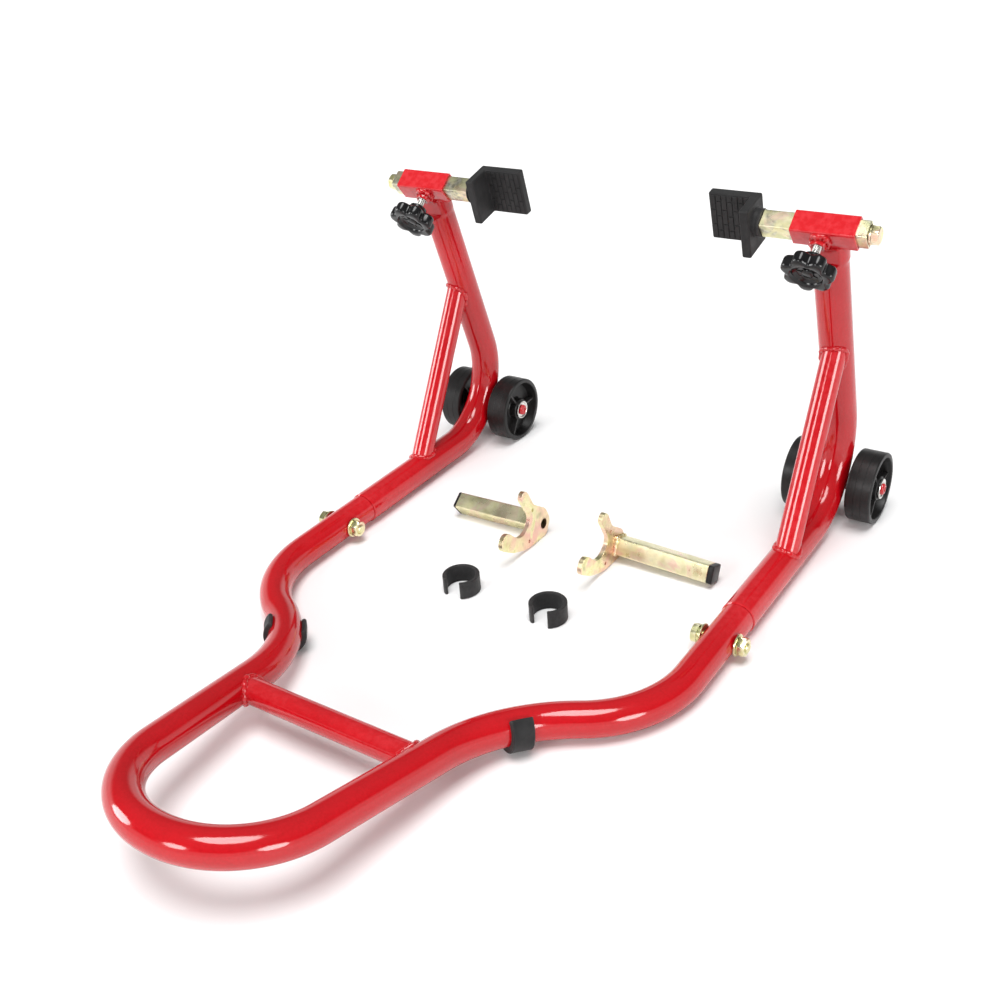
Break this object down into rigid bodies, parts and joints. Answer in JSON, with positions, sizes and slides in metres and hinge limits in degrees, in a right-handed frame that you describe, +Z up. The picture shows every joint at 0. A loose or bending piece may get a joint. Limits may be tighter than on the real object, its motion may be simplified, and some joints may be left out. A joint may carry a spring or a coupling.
{
  "type": "motorcycle paddock stand",
  "caption": "Tubular rear paddock stand with a looped handle, wheels at its heels, posts with sliding L-shaped rubber pads, and loose hooked adapters.",
  "frame": {"origin": "on the floor, at the middle of the stand's footprint", "axes": "+X across the stand, with x = 0 its middle; +Y from the handle to the wheels; +Z up from the floor"},
  "size_m": [0.5756, 0.8405, 0.3744],
  "materials": {
    "handle_tube": "gloss",
    "cross_brace": "gloss",
    "handle_foot_left": "matt",
    "spare_foot_left": "matt",
    "leg_tube_left": "gloss",
    "leg_spigot_left": "gloss",
    "gusset_left": "gloss",
    "axle_sleeve_left": "gloss",
    "axle_left": "gloss",
    "joint_washer_nut_left": "zinc-plated satin",
    "joint_washer_head_left": "zinc-plated satin",
    "joint_lock_washer_left": "zinc-plated satin",
    "joint_nut_left": "zinc-plated satin",
    "joint_bolt_left": "zinc-plated satin",
    "socket_left": "gloss",
    "clamp_nut_left": "gloss",
    "clamp_stud_left": "bright satin",
    "clamp_knob_left": "gloss",
    "cradle_slide_left": "zinc-plated satin",
    "pivot_washer_left": "zinc-plated satin",
    "pivot_bolt_left": "zinc-plated satin",
    "pad_left": "matt",
    "fork_plate_left": "zinc-plated satin",
    "fork_tube_left": "zinc-plated satin",
    "fork_cap_left": "gloss",
    "wheel_left_inner": "semi-matt",
    "axle_cap_left_inner": "bright satin",
    "wheel_left_outer": "semi-matt",
    "axle_cap_left_outer": "bright satin",
    "handle_foot_right": "matt",
    "spare_foot_right": "matt",
    "leg_tube_right": "gloss",
    "leg_spigot_right": "gloss",
    "gusset_right": "gloss",
    "axle_sleeve_right": "gloss",
    "axle_right": "gloss",
    "joint_washer_nut_right": "zinc-plated satin",
    "joint_washer_head_right": "zinc-plated satin",
    "joint_lock_washer_right": "zinc-plated satin",
    "joint_nut_right": "zinc-plated satin",
    "joint_bolt_right": "zinc-plated satin",
    "socket_right": "gloss",
    "clamp_nut_right": "gloss",
    "clamp_stud_right": "bright satin",
    "clamp_knob_right": "gloss",
    "cradle_slide_right": "zinc-plated satin",
    "pivot_washer_right": "zinc-plated satin",
    "pivot_bolt_right": "zinc-plated satin",
    "pad_right": "matt",
    "fork_plate_right": "zinc-plated satin",
    "fork_tube_right": "zinc-plated satin",
    "fork_cap_right": "gloss",
    "wheel_right_inner": "semi-matt",
    "axle_cap_right_inner": "bright satin",
    "wheel_right_outer": "semi-matt",
    "axle_cap_right_outer": "bright satin"
  },
  "bodies": {
    "frame": {"handle_tube": "handle_tube", "cross_brace": "cross_brace", "handle_foot_left": "handle_foot_left", "leg_tube_left": "leg_tube_left", "leg_spigot_left": "leg_spigot_left", "gusset_left": "gusset_left", "axle_sleeve_left": "axle_sleeve_left", "axle_left": "axle_left", "joint_washer_nut_left": "joint_washer_nut_left", "joint_washer_head_left": "joint_washer_head_left", "joint_lock_washer_left": "joint_lock_washer_left", "joint_nut_left": "joint_nut_left", "joint_bolt_left": "joint_bolt_left", "socket_left": "socket_left", "clamp_nut_left": "clamp_nut_left", "axle_cap_left_inner": "axle_cap_left_inner", "axle_cap_left_outer": "axle_cap_left_outer", "handle_foot_right": "handle_foot_right", "leg_tube_right": "leg_tube_right", "leg_spigot_right": "leg_spigot_right", "gusset_right": "gusset_right", "axle_sleeve_right": "axle_sleeve_right", "axle_right": "axle_right", "joint_washer_nut_right": "joint_washer_nut_right", "joint_washer_head_right": "joint_washer_head_right", "joint_lock_washer_right": "joint_lock_washer_right", "joint_nut_right": "joint_nut_right", "joint_bolt_right": "joint_bolt_right", "socket_right": "socket_right", "clamp_nut_right": "clamp_nut_right", "axle_cap_right_inner": "axle_cap_right_inner", "axle_cap_right_outer": "axle_cap_right_outer"},
    "wheel_left_inner": {"wheel_left_inner": "wheel_left_inner"},
    "wheel_left_outer": {"wheel_left_outer": "wheel_left_outer"},
    "cradle_left": {"cradle_slide_left": "cradle_slide_left", "pivot_washer_left": "pivot_washer_left", "pivot_bolt_left": "pivot_bolt_left"},
    "pad_left": {"pad_left": "pad_left"},
    "clamp_left": {"clamp_stud_left": "clamp_stud_left"},
    "knob_left": {"clamp_knob_left": "clamp_knob_left"},
    "fork_left": {"fork_plate_left": "fork_plate_left", "fork_tube_left": "fork_tube_left", "fork_cap_left": "fork_cap_left"},
    "spare_foot_left": {"spare_foot_left": "spare_foot_left"},
    "wheel_right_inner": {"wheel_right_inner": "wheel_right_inner"},
    "wheel_right_outer": {"wheel_right_outer": "wheel_right_outer"},
    "cradle_right": {"cradle_slide_right": "cradle_slide_right", "pivot_washer_right": "pivot_washer_right", "pivot_bolt_right": "pivot_bolt_right"},
    "pad_right": {"pad_right": "pad_right"},
    "clamp_right": {"clamp_stud_right": "clamp_stud_right"},
    "knob_right": {"clamp_knob_right": "clamp_knob_right"},
    "fork_right": {"fork_plate_right": "fork_plate_right", "fork_tube_right": "fork_tube_right", "fork_cap_right": "fork_cap_right"},
    "spare_foot_right": {"spare_foot_right": "spare_foot_right"}
  },
  "joints": [
    {"name": "wheel_left_inner_spin", "type": "hinge", "parent": "frame", "child": "wheel_left_inner", "pos_m": [-0.198, 0.3803, 0.04], "axis": [1, 0, 0], "continuous": true},
    {"name": "wheel_left_outer_spin", "type": "hinge", "parent": "frame", "child": "wheel_left_outer", "pos_m": [-0.27, 0.3803, 0.04], "axis": [1, 0, 0], "continuous": true},
    {"name": "cradle_left_slide", "type": "slide", "parent": "frame", "child": "cradle_left", "axis": [-1, 0, 0], "range_m": [-0.03, 0.028]},
    {"name": "pad_left_swivel", "type": "hinge", "parent": "cradle_left", "child": "pad_left", "pos_m": [-0.168, 0.2943, 0.3485], "axis": [1, 0, 0], "continuous": true},
    {"name": "clamp_left_advance", "type": "slide", "parent": "frame", "child": "clamp_left", "axis": [0, -0.7771, -0.6293], "range_m": [0, 0.0026]},
    {"name": "knob_left_turn", "type": "hinge", "parent": "clamp_left", "child": "knob_left", "pos_m": [-0.2315, 0.2943, 0.3485], "axis": [0, -0.7771, -0.6293], "range_deg": [0, 720]},
    {"name": "fork_left_lift", "type": "slide", "parent": "frame", "child": "fork_left", "axis": [0, 0, 1], "range_m": [0, 0.2]},
    {"name": "spare_foot_left_lift", "type": "slide", "parent": "frame", "child": "spare_foot_left", "axis": [0, 0, 1], "range_m": [0, 0.2]},
    {"name": "wheel_right_inner_spin", "type": "hinge", "parent": "frame", "child": "wheel_right_inner", "pos_m": [0.198, 0.3803, 0.04], "axis": [1, 0, 0], "continuous": true},
    {"name": "wheel_right_outer_spin", "type": "hinge", "parent": "frame", "child": "wheel_right_outer", "pos_m": [0.27, 0.3803, 0.04], "axis": [1, 0, 0], "continuous": true},
    {"name": "cradle_right_slide", "type": "slide", "parent": "frame", "child": "cradle_right", "axis": [1, 0, 0], "range_m": [-0.03, 0.028]},
    {"name": "pad_right_swivel", "type": "hinge", "parent": "cradle_right", "child": "pad_right", "pos_m": [0.168, 0.2943, 0.3485], "axis": [1, 0, 0], "continuous": true},
    {"name": "clamp_right_advance", "type": "slide", "parent": "frame", "child": "clamp_right", "axis": [0, -0.7771, -0.6293], "range_m": [0, 0.0026]},
    {"name": "knob_right_turn", "type": "hinge", "parent": "clamp_right", "child": "knob_right", "pos_m": [0.2315, 0.2943, 0.3485], "axis": [0, -0.7771, -0.6293], "range_deg": [0, 720]},
    {"name": "fork_right_lift", "type": "slide", "parent": "frame", "child": "fork_right", "axis": [0, 0, 1], "range_m": [0, 0.2]},
    {"name": "spare_foot_right_lift", "type": "slide", "parent": "frame", "child": "spare_foot_right", "axis": [0, 0, 1], "range_m": [0, 0.2]}
  ],
  "couplings": [
    {"joint": "clamp_left_advance", "follows": "knob_left_turn", "m_per_rad": 0.00019894},
    {"joint": "clamp_right_advance", "follows": "knob_right_turn", "m_per_rad": 0.00019894}
  ]
}
